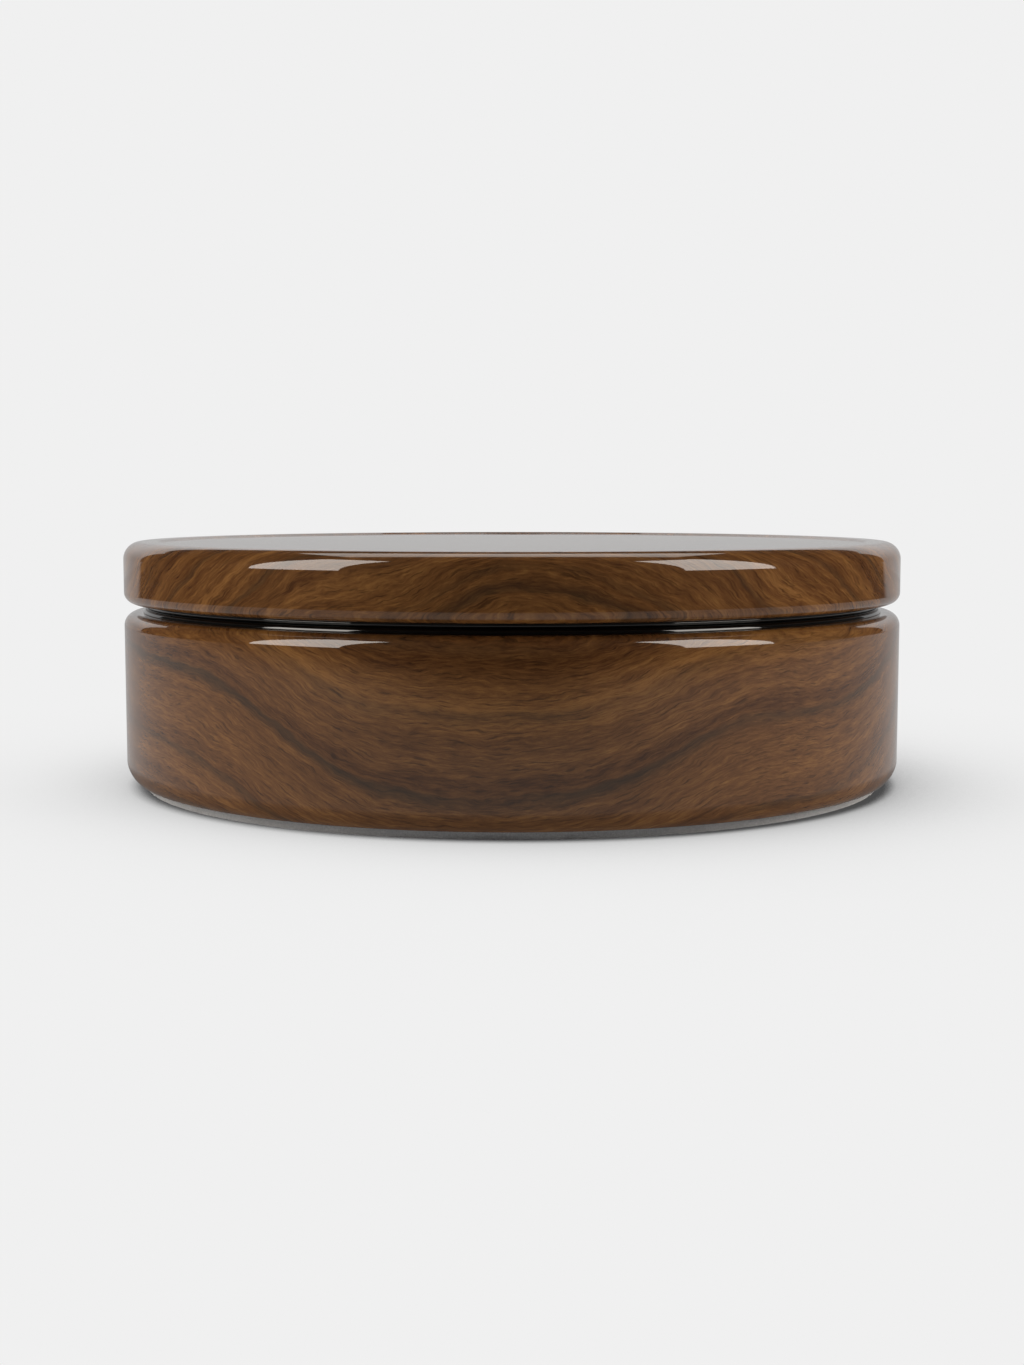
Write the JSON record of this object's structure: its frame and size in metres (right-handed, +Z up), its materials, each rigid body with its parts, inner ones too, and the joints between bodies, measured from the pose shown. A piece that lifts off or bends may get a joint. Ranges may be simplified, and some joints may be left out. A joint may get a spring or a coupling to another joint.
{
  "type": "lidded wooden shaving bowl",
  "caption": "Low round walnut shaving bowl with a lift-off dished lid, moulded black liner and lid insert, soap puck and felt base pad.",
  "frame": {"origin": "middle of the flat face of the base pad that the bowl stands on", "axes": "+Z up along the turning axis, through the lid; round about Z"},
  "size_m": [0.11, 0.11, 0.0342],
  "materials": {
    "walnut": "high-gloss clear lacquer",
    "black_moulding": "gloss",
    "silicone": "satin",
    "soap": "waxy",
    "felt": "matte"
  },
  "bodies": {
    "bowl": {"bowl_body": "walnut", "bowl_liner": "black_moulding", "soap_puck": "soap", "base_pad": "felt"},
    "seal": {"lid_seal": "silicone"},
    "lid": {"lid_body": "walnut", "lid_insert": "black_moulding"}
  },
  "joints": [
    {"name": "lid_lift", "type": "slide", "parent": "bowl", "child": "seal", "axis": [0, 0, 1], "range_m": [0, 0.045]},
    {"name": "lid_turn", "type": "hinge", "parent": "seal", "child": "lid", "pos_m": [0, 0, 0.02375], "axis": [0, 0, 1], "continuous": true}
  ]
}
